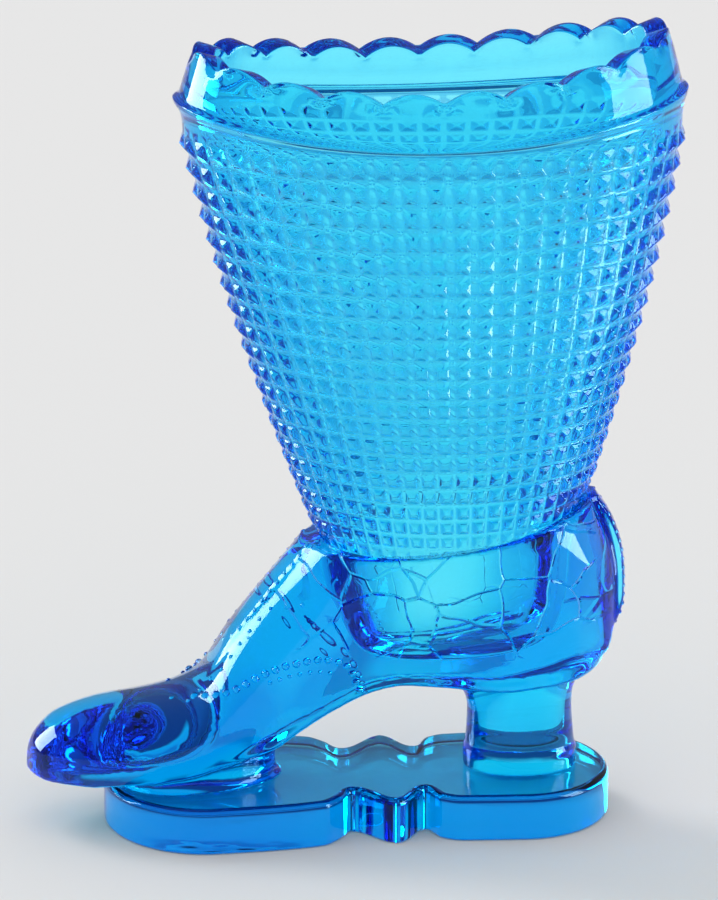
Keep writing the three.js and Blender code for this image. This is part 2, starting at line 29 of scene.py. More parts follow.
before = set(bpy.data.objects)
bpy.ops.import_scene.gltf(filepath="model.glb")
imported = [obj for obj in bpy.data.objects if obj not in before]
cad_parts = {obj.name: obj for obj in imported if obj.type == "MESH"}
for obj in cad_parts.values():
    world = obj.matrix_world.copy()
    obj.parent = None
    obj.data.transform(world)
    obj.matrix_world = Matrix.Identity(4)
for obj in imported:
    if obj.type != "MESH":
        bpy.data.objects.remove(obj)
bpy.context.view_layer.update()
scene = bpy.context.scene
scene.view_settings.view_transform = "Standard"
scene.cycles.max_bounces = 28  # long ways through thick glass end deep blue, not black
scene.cycles.transmission_bounces = 28
scene.cycles.glossy_bounces = 9  # fewer leave black patches in the toe, more turn it violet
print("frame loaded")


# small helpers

def smoothLine(pairs):
    # a smooth line through [place, value] pairs that never overshoots them
    xs = np.array([p[0] for p in pairs], float)
    ys = np.array([p[1] for p in pairs], float)
    slopes = np.diff(ys) / np.diff(xs)
    before = np.concatenate([slopes[:1], slopes])
    after = np.concatenate([slopes, slopes[-1:]])
    together = before + after
    together[together == 0] = 1
    tangents = np.where(before * after > 0, 2 * before * after / together, 0)

    def at(place):
        place = np.clip(np.asarray(place, float), xs[0], xs[-1])
        k = np.clip(np.searchsorted(xs, place, side="right") - 1, 0, len(xs) - 2)
        step = xs[k + 1] - xs[k]
        t = (place - xs[k]) / step
        s = 1 - t
        rising = ys[k] * (1 + 2 * t) + step * tangents[k] * t
        falling = ys[k + 1] * (3 - 2 * t) - step * tangents[k + 1] * s
        return rising * s * s + falling * t * t

    return at


def mix(a, b, share):
    return a + (b - a) * share


def unit(directions):
    return directions / np.linalg.norm(directions, axis=-1, keepdims=True)


def easeBetween(low, high, value):
    t = np.clip((value - low) / (high - low), 0, 1)
    return t * t * (3 - 2 * t)


def addObject(name, data):
    thing = bpy.data.objects.new(name, data)
    scene.collection.objects.link(thing)
    return thing


def meshObject(name, points, faces):
    mesh = bpy.data.meshes.new(name)
    mesh.from_pydata([tuple(p) for p in points], [], [tuple(f) for f in faces])
    mesh.update()
    return addObject(name, mesh)


def addLayer(thing, name, values):
    # a number, or a direction, for each point of the mesh
    values = np.asarray(values, np.float32)
    kind, field = ("FLOAT", "value") if values.ndim == 1 else ("FLOAT_VECTOR", "vector")
    layer = thing.data.attributes.new(name, kind, "POINT")
    layer.data.foreach_set(field, values.ravel())


def bandFaces(ringCount, ringSize, closed, lean=None):
    # quads between rings of equal size, the last joined to the first where closed
    # lean says, of a quad's ring and place, which way it is split: 1, -1 or 0 for not at all
    faces = []
    for r in range(ringCount if closed else ringCount - 1):
        a = r * ringSize
        b = ((r + 1) % ringCount) * ringSize
        for i in range(ringSize):
            j = (i + 1) % ringSize
            way = lean(r, i) if lean else 0
            if way > 0:
                faces += [(a + i, a + j, b + j), (a + i, b + j, b + i)]
            elif way < 0:
                faces += [(a + i, a + j, b + i), (a + j, b + j, b + i)]
            else:
                faces.append((a + i, a + j, b + j, b + i))
    return faces


def cappedLoft(name, rings, firstTip, lastTip):
    # rings joined one after another, with a fan onto a tip at each end
    count, size = len(rings), len(rings[0])
    points = [p for ring in rings for p in ring] + [firstTip, lastTip]
    faces = bandFaces(count, size, False)
    first, last = count * size, count * size + 1
    for i in range(size):
        j = (i + 1) % size
        faces.append((first, j, i))
        faces.append((last, (count - 1) * size + i, (count - 1) * size + j))
    return closedMesh(name, points, faces)


def faceOutwards(thing):
    work = bmesh.new()
    work.from_mesh(thing.data)
    bmesh.ops.remove_doubles(work, verts=work.verts, dist=1e-5)
    bmesh.ops.dissolve_degenerate(work, edges=work.edges, dist=1e-6)
    bmesh.ops.recalc_face_normals(work, faces=work.faces)
    work.to_mesh(thing.data)
    work.free()


def closedMesh(name, points, faces):
    thing = meshObject(name, points, faces)
    faceOutwards(thing)
    return thing


def asPlainMesh(thing):
    # the evaluated shape as a plain mesh, with no modifier left
    bpy.context.view_layer.update()
    evaluated = thing.evaluated_get(bpy.context.evaluated_depsgraph_get())
    mesh = bpy.data.meshes.new_from_object(evaluated)
    thing.modifiers.clear()
    old = thing.data
    thing.data = mesh
    bpy.data.meshes.remove(old)
    mesh.name = thing.name
    return thing


def cutOrJoin(thing, other, operation):
    step = thing.modifiers.new(operation.lower(), "BOOLEAN")
    step.operation = operation
    step.object = other
    step.solver = "MANIFOLD"
    asPlainMesh(thing)
    bpy.data.objects.remove(other)
    return thing


def gather(things, name):
    # several closed shapes as one mesh, each still by itself
    work = bmesh.new()
    for thing in things:
        work.from_mesh(thing.data)
    mesh = bpy.data.meshes.new(name)
    work.to_mesh(mesh)
    work.free()
    for thing in things:
        bpy.data.objects.remove(thing)
    return addObject(name, mesh)


def toMetres(thing):
    thing.data.transform(Matrix.Scale(0.001, 4))


class Wire:
    # a socket that takes part in plain arithmetic

    def __init__(self, board, socket):
        self.board = board
        self.socket = socket

    def combine(self, operation, first, second=None):
        return self.board.node("ShaderNodeMath", {"operation": operation}, first, second)

    def __add__(self, other):
        return self.combine("ADD", self, other)

    def __radd__(self, other):
        return self.combine("ADD", other, self)

    def __sub__(self, other):
        return self.combine("SUBTRACT", self, other)

    def __rsub__(self, other):
        return self.combine("SUBTRACT", other, self)

    def __mul__(self, other):
        return self.combine("MULTIPLY", self, other)

    def __rmul__(self, other):
        return self.combine("MULTIPLY", other, self)

    def __truediv__(self, other):
        return self.combine("DIVIDE", self, other)

    def __rtruediv__(self, other):
        return self.combine("DIVIDE", other, self)

    def magnitude(self):
        return self.combine("ABSOLUTE", self)

    def atLeast(self, other):
        return self.combine("MAXIMUM", self, other)

    def atMost(self, other):
        return self.combine("MINIMUM", self, other)

    def between(self, low, high):
        # 0 up to low, 1 from high on, and a straight rise from one to the other
        return ((self - low) * (1 / (high - low))).atLeast(0).atMost(1)


def setStops(line, stops):
    # places and colours along a ramp, whose first two stops are there already
    for spot, (place, colour) in enumerate(stops):
        stop = line[spot] if spot < 2 else line.new(place)
        stop.position = place
        stop.color = (*colour, 1)


class Board:
    # one node tree and the way nodes are put on it

    def __init__(self, tree):
        self.tree = tree

    def node(self, kind, settings, *values, output=0, **named):
        # values go to the sockets in turn, and named ones to the socket of that name
        made = self.tree.nodes.new(kind)
        for key, value in settings.items():
            if key == "stops":
                setStops(made.color_ramp.elements, value)
            else:
                setattr(made, key, value)
        for slot, value in [*enumerate(values), *named.items()]:
            if value is None:
                continue
            socket = made.inputs[slot if isinstance(slot, int) else slot.replace("_", " ")]
            if isinstance(value, Wire):
                self.tree.links.new(value.socket, socket)
            else:
                socket.default_value = value
        return Wire(self, made.outputs[output]) if made.outputs else made

    def lightPath(self, question):
        return self.node("ShaderNodeLightPath", {}, output=question)

    def blendColours(self, share, first, second):
        # each colour is a wire, three numbers, or one number for a grey
        def asColour(value):
            if isinstance(value, Wire):
                return value
            return (*value, 1) if isinstance(value, tuple) else (value, value, value, 1)

        unused = [None] * 5  # the sockets for mixing numbers and vectors
        return self.node("ShaderNodeMix", {"data_type": "RGBA"}, share, *unused,
                         asColour(first), asColour(second), output=2)


def emptyBoard(owner):
    # the node tree of a material or a world, with nothing on it yet
    owner.use_nodes = True
    owner.node_tree.nodes.clear()
    return Board(owner.node_tree)


def geometryTree(name, inputs):
    # a Geometry Nodes tree with its named inputs and what they are at first
    tree = bpy.data.node_groups.new(name, "GeometryNodeTree")
    tree.interface.new_socket("Geometry", in_out="INPUT", socket_type="NodeSocketGeometry")
    for label, value in inputs.items():
        kind = "NodeSocketInt" if isinstance(value, int) else "NodeSocketFloat"
        socket = tree.interface.new_socket(label, in_out="INPUT", socket_type=kind)
        socket.default_value = value
    tree.interface.new_socket("Geometry", in_out="OUTPUT", socket_type="NodeSocketGeometry")
    board = Board(tree)
    entry = board.node("NodeGroupInput", {}).socket.node
    wires = {socket.name: Wire(board, socket) for socket in entry.outputs if socket.name}
    return tree, board, wires


def endTree(board, shape, material):
    real = board.node("GeometryNodeRealizeInstances", {}, shape)
    done = board.node("GeometryNodeSetMaterial", {}, real, None, material)
    board.node("NodeGroupOutput", {}, done)


def addTree(thing, tree, values):
    step = thing.modifiers.new(tree.name, "NODES")
    step.node_group = tree
    for item in tree.interface.items_tree:
        if item.in_out == "INPUT" and item.name in values:
            step[item.identifier] = values[item.name]


def attribute(board, name, kind="FLOAT"):
    return board.node("GeometryNodeInputNamedAttribute", {"data_type": kind}, name)


# the glass

glassLook = {
    "ior": 1.5,
    "roughness": 0.015,
    "reflection": (0.42, 0.84, 1.0),  # the blue body takes the red out of soft reflections
    "rippleScale": 90,
    "rippleHeight": 0.04,  # millimetres, times each glass's own share
    # how much of red, green and blue each millimetre takes away, and the share of the ripple
    "leg": ((0.48, 0.061, 0.01), 0.5),
    "shoe": ((0.36, 0.04, 0.005), 1.0),
    "plate": ((0.27, 0.036, 0.006), 1.5),
}


def makeGlass(name, takenPerMillimetre, rippleShare, relief=None):
    material = bpy.data.materials.new(name)
    board = emptyBoard(material)
    place = board.node("ShaderNodeTexCoord", {}, output="Object")
    ripple = board.node("ShaderNodeTexNoise", {}, place, Scale=glassLook["rippleScale"], Detail=2.0)
    rippleHeight = glassLook["rippleHeight"] / 1000 * rippleShare
    bump = board.node("ShaderNodeBump", {}, Strength=1.0, Distance=rippleHeight, Height=ripple)
    if relief:
        bump = relief(board, place, bump)
    glass = board.node(
        "ShaderNodeBsdfPrincipled", {},
        Base_Color=(1, 1, 1, 1), Roughness=glassLook["roughness"], IOR=glassLook["ior"],
        Transmission_Weight=1.0, Specular_Tint=(*glassLook["reflection"], 1), Normal=bump,
    )
    # each metre takes away density times what the colour lacks to white
    density = 1000 * max(takenPerMillimetre) / 0.95
    colour = [1 - 1000 * taken / density for taken in takenPerMillimetre]
    inside = board.node("ShaderNodeVolumeAbsorption", {}, Color=(*colour, 1), Density=density)
    board.node("ShaderNodeOutputMaterial", {}, Surface=glass, Volume=inside)
    return material


hideSizes = {
    "cellSize": 9.0,
    "lineWidth": 0.5,
    "lineDepth": 0.16,
    "wander": 4.0,  # how far the lines stray from a straight net
    "wanderScale": 120.0,
    # where the net shows, each pair from where it starts to where it is full
    "outwards": (0.0, 0.3),
    "front": (-14, -10),
    "frontLean": (0.35, 46),  # the front edge leans back with each millimetre below this height
    "back": (36.5, 38.5),
    "low": (28.5, 30.5),
    "lowLean": (0.12, 6),  # the lower edge climbs with each millimetre in front of this place
    "leanReach": 20,
    "beside": (4.0, 6.0),  # from the middle plane
}


def hideRelief(board, place, before):
    # an irregular net of fine lines over the quarter, as on leather
    sizes = hideSizes
    wander = board.node("ShaderNodeTexNoise", {}, place, output="Color",
                        Scale=sizes["wanderScale"], Detail=1.0)
    reach = sizes["wander"] / 1000
    shift = board.node("ShaderNodeVectorMath", {"operation": "MULTIPLY_ADD"},
                       wander, (reach, 0, reach), place)
    flat = board.node("ShaderNodeVectorMath", {"operation": "MULTIPLY"}, shift, (1, 0.2, 1))
    edge = board.node("ShaderNodeTexVoronoi", {"feature": "DISTANCE_TO_EDGE"}, flat,
                      Scale=1000 / sizes["cellSize"], Randomness=0.9)
    line = (1 - edge * (2 * sizes["cellSize"] / sizes["lineWidth"])).atLeast(0)
    area = board.node("ShaderNodeAttribute", {"attribute_name": "hideArea"}, output="Fac")
    return board.node("ShaderNodeBump", {}, Strength=1.0, Distance=sizes["lineDepth"] / 1000,
                      Height=1 - line * area, Normal=before)


def markHide(thing):
    # the net shows on the outside of the quarter, from behind the throat to the strap
    sizes = hideSizes
    count = len(thing.data.vertices)
    spots, normals = np.zeros(count * 3, np.float32), np.zeros(count * 3, np.float32)
    thing.data.vertices.foreach_get("co", spots)
    thing.data.vertices.foreach_get("normal", normals)
    x, y, z = spots.reshape(-1, 3).T
    frontLean, frontTop = sizes["frontLean"]
    lowLean, lowFront = sizes["lowLean"]
    reach = sizes["leanReach"]
    outwards = easeBetween(*sizes["outwards"], normals.reshape(-1, 3)[:, 1] * np.sign(y))
    front = easeBetween(*sizes["front"], x + frontLean * (frontTop - z).clip(0, reach))
    back = 1 - easeBetween(*sizes["back"], x)
    low = easeBetween(*sizes["low"], z + lowLean * (x - lowFront).clip(-reach, 0))
    beside = easeBetween(*sizes["beside"], np.abs(y))
    addLayer(thing, "hideArea", outwards * front * back * low * beside)


legGlass = makeGlass("bluePressedGlassLeg", *glassLook["leg"])
shoeGlass = makeGlass("bluePressedGlassShoe", *glassLook["shoe"], hideRelief)
plateGlass = makeGlass("bluePressedGlassPlate", *glassLook["plate"])
print("glass made")


# leg and mouth: one tapered oval wall with a grid of points, a ridge, a collar and scallops

legSizes = {
    "ankleX": 14.8,
    "ankleHalfLength": 19.95,
    "ankleHalfWidth": 16.4,
    "mouthX": 12.25,
    "topX": 12.55,
    "topHalfLength": 39.3,
    "topHalfWidth": 23.75,
    "bow": 5.8,
    "sideBow": 1.5,
    "fieldTop": 113.5,
    "seamFront": 46.6,
    "seamFrontX": -5.15,
    "seamLength": 42.9,
    "seamRise": 6.6,
    "belowSeam": 2.0,  # the rings start here and are lifted to the seam
    "wall": 3.1,
    "insideTop": 112.5,
    "insideRings": 18,
    "columns": 50,
    "sharpEdge": 75,  # degrees
}
pointSizes = {
    "height": 0.95,
    "groove": 0.2,
    "softFrom": 92,  # above this height the points are crisp
    "softTo": 62,  # below this height they are low rounded buttons
    "flankShare": 0.4,  # of a low button's half width
    "buttonHeight": 0.62,  # of a point's height
    "seamShare": 0.25,  # of their height is left where they meet the seam
    "seamFade": (0.2, 4.0),
    "cellParts": [0.1, 0.2, 0.32, 0.5, 0.68, 0.8, 0.9],  # where a cell has its lines of mesh
}
mouthSizes = {
    "ridgeHalfLength": 40.45,
    "ridgeHalfWidth": 24.9,
    "ridgeHeight": 116.73,
    "ridgeSaddle": 2.15,
    "ridgeTilt": 0.4,
    "rimHeight": 125.53,
    "rimSaddle": 2.4,
    "rimTilt": 1.3,
    "lean": 3.2,
    "rimWall": 3.4,
    "rimFall": 0.9,
    "scallops": 20,
    "scallopDepth": 1.75,
    # the hollow under the ridge: share of the way down to the points, share of the way in
    "flute": [(0.8, 1.0), (0.6, 0.93), (0.42, 0.75), (0.28, 0.48), (0.16, 0.22), (0.08, 0.06)],
    # the ridge and the collar: height over the ridge, inset from it
    "collar": [(0, 0.02), (0.08, 0.0), (0.2, 0.06), (0.42, 0.42), (0.62, 0.74), (0.85, 0.94), (1.2, 1.1),
               (1.8, 1.28), (2.6, 1.5), (3.4, 1.73), (4.3, 2.0), (5.2, 2.26), (5.8, 2.44)],
    # the lip: drop from the crests, inset from the lean, share of the scallops
    "lip": [(2.3, -0.55, 0.25), (1.5, -0.33, 0.6), (0.8, -0.13, 0.9), (0.45, -0.05, 1), (0.2, 0.02, 1),
            (0.06, 0.15, 1), (0, 0.34, 1), (0.25, 1.1, 1)],
    # the inside: drop from the lip's inner edge, inset from the rim's inner face, share of the scallops
    "inside": [(-0.15, -0.5, 1), (0, -0.12, 1), (0.12, 0, 1), (0.6, 0, 0.9), (1.5, -0.15, 0.4),
               (2.7, -0.35, 0.05), (4.3, -0.8, 0), (6.4, -1.5, 0), (7.9, -1.6, 0)],
}


def seamHeight(x):
    share = np.maximum(0, (x - legSizes["seamFrontX"]) / legSizes["seamLength"])
    return legSizes["seamFront"] + legSizes["seamRise"] * share ** 2


def legOval(z):
    # the leg's middle, half length and half width at a height
    leg = legSizes
    t = (z - leg["seamFront"]) / (leg["fieldTop"] - leg["seamFront"])
    bulge = np.maximum(0, t * (1 - t))
    return (
        mix(leg["ankleX"], leg["topX"], t),
        mix(leg["ankleHalfLength"], leg["topHalfLength"], t) + leg["bow"] * bulge,
        mix(leg["ankleHalfWidth"], leg["topHalfWidth"], t) + leg["sideBow"] * bulge,
    )


def ovalLength(a, b):
    return math.pi * (3 * (a + b) - math.sqrt((3 * a + b) * (a + 3 * b)))


def equalArcs(a, b, shares):
    # angles that stand at given shares of an oval's length, from its back point
    fine = np.linspace(0, 2 * np.pi, 1441)
    middle = (fine[1:] + fine[:-1]) / 2
    steps = np.hypot(a * np.sin(middle), b * np.cos(middle))
    reached = np.concatenate([[0], np.cumsum(steps)])
    turns = np.floor(shares)
    return np.interp(shares - turns, reached / reached[-1], fine) + 2 * np.pi * turns


def rowHeights():
    # the lines between the rows of points, from the top down: each cell is as tall as it is wide
    rows = [legSizes["fieldTop"]]
    while rows[-1] > legSizes["seamFront"] - legSizes["belowSeam"]:
        _, a, b = legOval(rows[-1])
        rows.append(rows[-1] - ovalLength(a, b) / legSizes["columns"])
    return np.array(rows)


def legRings(shares, bottom):
    # gives the leg's ring at a height and inset, lifted where it would hang below the seam
    levels = np.linspace(bottom, legSizes["fieldTop"], 70)
    angleTable = np.array([equalArcs(*legOval(z)[1:], shares) for z in levels])
    column = np.arange(len(shares))

    def anglesAt(z):
        k = np.clip(np.searchsorted(levels, z, side="right") - 1, 0, len(levels) - 2)
        t = (z - levels[k]) / (levels[1] - levels[0])
        return mix(angleTable[k, column], angleTable[k + 1, column], t)

    def ringAt(height, inset):
        z = np.full(len(shares), float(height))
        for _ in range(5):  # a lifted place moves outwards, where the seam is higher again
            x, a, b = legOval(z)
            z = np.maximum(z, seamHeight(x + (a - inset) * np.cos(anglesAt(z))))
        x, a, b = legOval(z)
        angle = anglesAt(z)
        return np.stack([x + (a - inset) * np.cos(angle), (b - inset) * np.sin(angle), z], 1)

    return ringAt


def mouthRings(shares):
    # gives the mouth's ring at a drop from the rim's crests and an inset from the ridge
    mouth = mouthSizes
    angles = equalArcs(mouth["ridgeHalfLength"], mouth["ridgeHalfWidth"], shares)
    acrossScallop = 2 * ((shares * mouth["scallops"]) % 1) - 1
    collarHeight = mouth["rimHeight"] - mouth["ridgeHeight"]

    def ringAt(drop, inset, scallopShare=0.0):
        t = drop / collarHeight
        saddle = mix(mouth["rimSaddle"], mouth["ridgeSaddle"], t)
        tilt = mix(mouth["rimTilt"], mouth["ridgeTilt"], t)
        z = mouth["rimHeight"] - drop + saddle * np.cos(2 * angles) + tilt * np.cos(angles)
        z = z - scallopShare * mouth["scallopDepth"] * acrossScallop ** 2
        return np.stack([
            legSizes["mouthX"] + (mouth["ridgeHalfLength"] - inset) * np.cos(angles),
            (mouth["ridgeHalfWidth"] - inset) * np.sin(angles),
            z,
        ], 1)

    return ringAt, collarHeight


def splitByPoints(across, downMiddles, fieldCount):
    # a cell's quads are split along the edges that run down from its point's tip
    def way(r, i):
        if r >= fieldCount - 1:
            return 0
        down = downMiddles[r + 1] % 1
        place = (across[i] + ((across[(i + 1) % len(across)] - across[i]) % 1) / 2) % 1
        return 1 if (down - 0.5) * (place - 0.5) < 0 else -1

    return way


def outwardsOf(grid):
    # the direction in which each place of the leg's outside faces
    alongRing = np.roll(grid, -1, 1) - np.roll(grid, 1, 1)
    halfLength = legOval(grid[..., 2])[1]
    slope = legOval(grid[..., 2] + 1)[1] - halfLength
    outward = unit(np.stack([alongRing[..., 1], -alongRing[..., 0], np.zeros_like(slope)], -1))
    outward[..., 2] = -slope * np.abs(outward[..., 0])
    return unit(outward)


def markPoints(thing, points, ringSize, fieldCount, across, rows):
    # for the tree of points: where each place lies in its cell, how far it is raised and which way
    z = points[:, 2]
    row = np.clip(np.searchsorted(-rows, -z, side="right") - 1, 0, len(rows) - 2)
    footHeight = z - seamHeight(points[:, 0])
    field = slice(fieldCount * ringSize)
    pointShare = np.zeros(len(points))
    pointShare[field] = 1
    pointShare *= mix(pointSizes["seamShare"], 1, easeBetween(*pointSizes["seamFade"], footHeight))
    outward = np.zeros((len(points), 3))
    outward[field] = outwardsOf(points[field].reshape(fieldCount, ringSize, 3)).reshape(-1, 3)
    addLayer(thing, "acrossCell", np.tile(across, len(points) // ringSize))
    addLayer(thing, "downCell", (rows[row] - z) / (rows[row] - rows[row + 1]))
    addLayer(thing, "pointShare", pointShare)
    addLayer(thing, "pointSoftness", 1 - easeBetween(pointSizes["softTo"], pointSizes["softFrom"], z))
    addLayer(thing, "outward", outward)


def makeLeg():
    leg, mouth = legSizes, mouthSizes
    parts = np.array(pointSizes["cellParts"])
    shares = ((np.arange(leg["columns"])[:, None] + parts[None, :] + 0.5) / leg["columns"]).ravel()
    across = np.tile(parts, leg["columns"])
    rows = rowHeights()
    heights = (rows[:-1, None] + np.diff(rows)[:, None] * parts[None, :]).ravel()
    legRing = legRings(shares, rows[-1])
    mouthRing, collarHeight = mouthRings(shares)
    fieldTopRing = legRing(leg["fieldTop"], 0)
    ridgeRing = mouthRing(collarHeight, 0)

    rings = [legRing(z, 0) for z in heights[::-1]]
    fieldCount = len(rings)
    for down, inwards in mouth["flute"]:
        ring = mix(ridgeRing, fieldTopRing, inwards)
        ring[:, 2] = mix(ridgeRing[:, 2], fieldTopRing[:, 2], down)
        rings.append(ring)
    for up, inset in mouth["collar"]:
        rings.append(mouthRing(collarHeight - up, inset))
    for drop, inset, scallopShare in mouth["lip"]:
        rings.append(mouthRing(drop, mouth["lean"] + inset, scallopShare))
    innerFace = mouth["lean"] + mouth["rimWall"]
    for drop, inset, scallopShare in mouth["inside"]:
        rings.append(mouthRing(mouth["rimFall"] + drop, innerFace + inset, scallopShare))
    for z in np.linspace(leg["insideTop"], leg["seamFront"] - leg["belowSeam"], leg["insideRings"]):
        rings.append(legRing(z, leg["wall"]))

    points = np.concatenate(rings)
    nextParts = np.roll(parts, -1)
    middles = (parts + nextParts) / 2 + (nextParts < parts) / 2
    way = splitByPoints(across, np.tile(middles, len(rows) - 1)[::-1], fieldCount)
    thing = meshObject("glassLegAndMouth", points, bandFaces(len(rings), len(shares), True, way))
    markPoints(thing, points, len(shares), fieldCount, across, rows)
    return thing


def makePointsTree():
    tree, board, wires = geometryTree("diamondPoints", {
        "Point Height": 1.0, "Groove Share": 0.1, "Flank Share": 0.4, "Button Height": 0.6,
    })
    acrossPart = ((attribute(board, "acrossCell") - 0.5) * 2).magnitude()
    downPart = ((attribute(board, "downCell") - 0.5) * 2).magnitude()
    groove = wires["Groove Share"]
    fromEdge = 1 - acrossPart.atLeast(downPart) - groove
    crisp = (fromEdge / (1 - groove)).atLeast(0)
    button = (fromEdge / wires["Flank Share"]).atLeast(0).atMost(1) * wires["Button Height"]
    softness = attribute(board, "pointSoftness")
    height = (crisp * (1 - softness) + button * softness) * attribute(board, "pointShare")
    offset = board.node("ShaderNodeVectorMath", {"operation": "SCALE"},
                        attribute(board, "outward", "FLOAT_VECTOR"), Scale=height * wires["Point Height"])
    moved = board.node("GeometryNodeSetPosition", {}, wires["Geometry"], None, None, offset)
    endTree(board, moved, legGlass)
    return tree


def smoothShade(thing, sharpEdge):
    for face in thing.data.polygons:
        face.use_smooth = True
    thing.data.set_sharp_from_angle(angle=math.radians(sharpEdge))


legAndMouth = makeLeg()
addTree(legAndMouth, makePointsTree(), {
    "Point Height": pointSizes["height"], "Groove Share": pointSizes["groove"],
    "Flank Share": pointSizes["flankShare"], "Button Height": pointSizes["buttonHeight"],
})
asPlainMesh(legAndMouth)
faceOutwards(legAndMouth)
smoothShade(legAndMouth, legSizes["sharpEdge"])
toMetres(legAndMouth)
print("leg and mouth", len(legAndMouth.data.polygons))


# shoe: toe, vamp, quarter, sole, ball pad and heel as one body of glass

shoeSizes = {
    "toeX": -52.7,
    "backX": 42.6,
    "soleBackX": 40.6,
    "toeSole": 8.0,
    "archRise": 15.7,
    "instepRise": 38.6,
    "soleThickness": 1.8,
    "soleEdge": 0.45,
    "soleLowEdge": [(0.5, 0.03), (0.12, 0.3), (0, 0.7)],  # inwards, up from the underside
    "soleHighEdge": [(0, 0.5), (0.2, 0.08), (0.6, 0)],  # inwards, down from the top
    "upperInSole": 0.6,  # of the sole's thickness, where the upper starts
    "toeInSole": 0.1,
    "besideSole": 1.03,  # the upper's half width for the sole's, at the ball
    "toeRound": 0.16,  # of the half width is taken in at the toe's lower edge
    "toeRoundEnds": (0.36, 0.5),  # along the shoe
    "toeSoleInset": 0.24,  # of the half width, where the sole is hidden in the toe
    "toeSoleEnds": (0.3, 0.45),
    "ballHalfWidth": 13.2,
    "ankleHalfWidth": 17.0,
    "ballToAnkle": (0.34, 0.46),
    "plateTop": 7.44,  # a hair above the plate
    "seamGap": 0.03,
    "voxel": 0.42,
    "smoothing": 6,
    "sharpEdge": 50,  # degrees
}
# along the sole from toe to back, as shares of its half width and of the arch's rise
soleWidthShare = smoothLine([
    [0, 0], [0.01, 0.27], [0.03, 0.46], [0.06, 0.64], [0.1, 0.8], [0.15, 0.925], [0.21, 0.995],
    [0.27, 1], [0.33, 0.95], [0.42, 0.8], [0.5, 0.68], [0.57, 0.62], [0.64, 0.61], [0.71, 0.66],
    [0.78, 0.77], [0.85, 0.85], [0.9, 0.84], [0.94, 0.75], [0.97, 0.58], [0.99, 0.34], [1, 0],
])
soleRiseShare = smoothLine([
    [0, 0.06], [0.04, 0.01], [0.1, 0.01], [0.16, 0.04], [0.21, 0.08], [0.265, 0.13], [0.32, 0.22],
    [0.365, 0.285], [0.42, 0.39], [0.46, 0.54], [0.53, 0.775], [0.6, 0.95], [0.64, 0.99], [0.72, 0.97],
    [0.8, 0.94], [0.88, 0.99], [0.92, 1.02], [0.96, 1.08], [1, 1.17],
])
# along the shoe from toe to back: its top, its underside's climb to the top at the back, the height
# where it is widest, and its half width at the ankle
topShare = smoothLine([
    [0, 0.093], [0.005, 0.14], [0.019, 0.197], [0.05, 0.262], [0.126, 0.316], [0.193, 0.335],
    [0.243, 0.363], [0.273, 0.395], [0.295, 0.435], [0.313, 0.49], [0.337, 0.585], [0.3625, 0.67],
    [0.405, 0.805], [0.464, 0.984], [0.52, 1.19], [0.6, 1.4], [0.75, 1.5], [0.88, 1.43], [0.94, 1.22],
    [0.961, 1.125], [0.9738, 1.062], [0.987, 0.985], [0.9942, 0.925], [0.998, 0.87], [1, 0.82],
])
backLiftShare = smoothLine([[0.93, 0], [0.975, 0.01], [0.985, 0.07], [0.9947, 0.36], [0.998, 0.62], [1, 1]])
widestShare = smoothLine([
    [0, 0.4], [0.3, 0.38], [0.42, 0.42], [0.5, 0.5], [0.56, 0.58], [0.66, 0.62], [0.8, 0.64],
    [0.9, 0.6], [0.96, 0.55], [1, 0.5],
])
ankleWidthShare = smoothLine([
    [0.3, 0.76], [0.42, 0.68], [0.47, 0.695], [0.52, 0.74], [0.56, 0.81], [0.6, 0.9], [0.66, 0.975],
    [0.71, 1], [0.78, 0.965], [0.85, 0.85], [0.9, 0.705], [0.94, 0.54], [0.97, 0.375], [0.99, 0.21],
    [1, 0],
])


def soleUnder(x):
    size = shoeSizes
    along = (x - size["toeX"]) / (size["soleBackX"] - size["toeX"])
    return size["toeSole"] + size["archRise"] * soleRiseShare(along)


def stations(count):
    # shares of a length, closer together towards both ends
    return 0.5 - 0.5 * np.cos(np.pi * (np.arange(count) + 1) / (count + 1))


def upperRing(u, grow):
    # the shoe's section at a share of its length, grown outwards by some millimetres
    size = shoeSizes
    x = mix(size["toeX"], size["backX"], u)
    top = size["toeSole"] + size["instepRise"] * topShare(u)
    toeRound = 1 - easeBetween(*size["toeRoundEnds"], u)
    start = mix(size["upperInSole"] * size["soleThickness"], size["toeInSole"], toeRound)
    onSole = soleUnder(x) + start
    bottom = min(top, mix(onSole, top, backLiftShare(u)))
    widest = mix(bottom, top, widestShare(u))
    foot = size["ballHalfWidth"] * soleWidthShare(u)
    ankle = size["ankleHalfWidth"] * ankleWidthShare(u)
    side = mix(size["besideSole"] * foot, ankle, easeBetween(*size["ballToAnkle"], u))
    low = np.linspace(0, 1, 20)
    width = mix(min(foot, side) * (1 - size["toeRound"] * toeRound), side, np.sin(low * np.pi / 2)) + grow
    lowPart = np.stack([width, mix(bottom - grow, widest, low)], 1)
    turn = np.linspace(0, np.pi / 2, 33)[1:]
    highPart = np.stack([(side + grow) * np.cos(turn), widest + (top + grow - widest) * np.sin(turn)], 1)
    half = np.concatenate([lowPart, highPart])
    half[-1, 0] = 0
    whole = np.concatenate([half, half[:-1][::-1] * [-1, 1]])
    return np.insert(whole, 0, x + (2 * u - 1) * grow, 1)


def makeUpper(name, grow=0.0, fade=None):
    # fade says, of a place's length and height, how much of the growth is left there
    size = shoeSizes
    rings = [upperRing(u, grow) for u in stations(150)]
    if fade:
        for ring, u in zip(rings, stations(150)):
            body = upperRing(u, 0.0)
            ring[:] = mix(body, ring, fade(body[:, :1], body[:, 2:]))
    tips = [(x, 0, size["toeSole"] + size["instepRise"] * float(topShare(u)))
            for x, u in ((size["toeX"] - grow, 0), (size["backX"] + grow, 1))]
    return cappedLoft(name, rings, *tips)


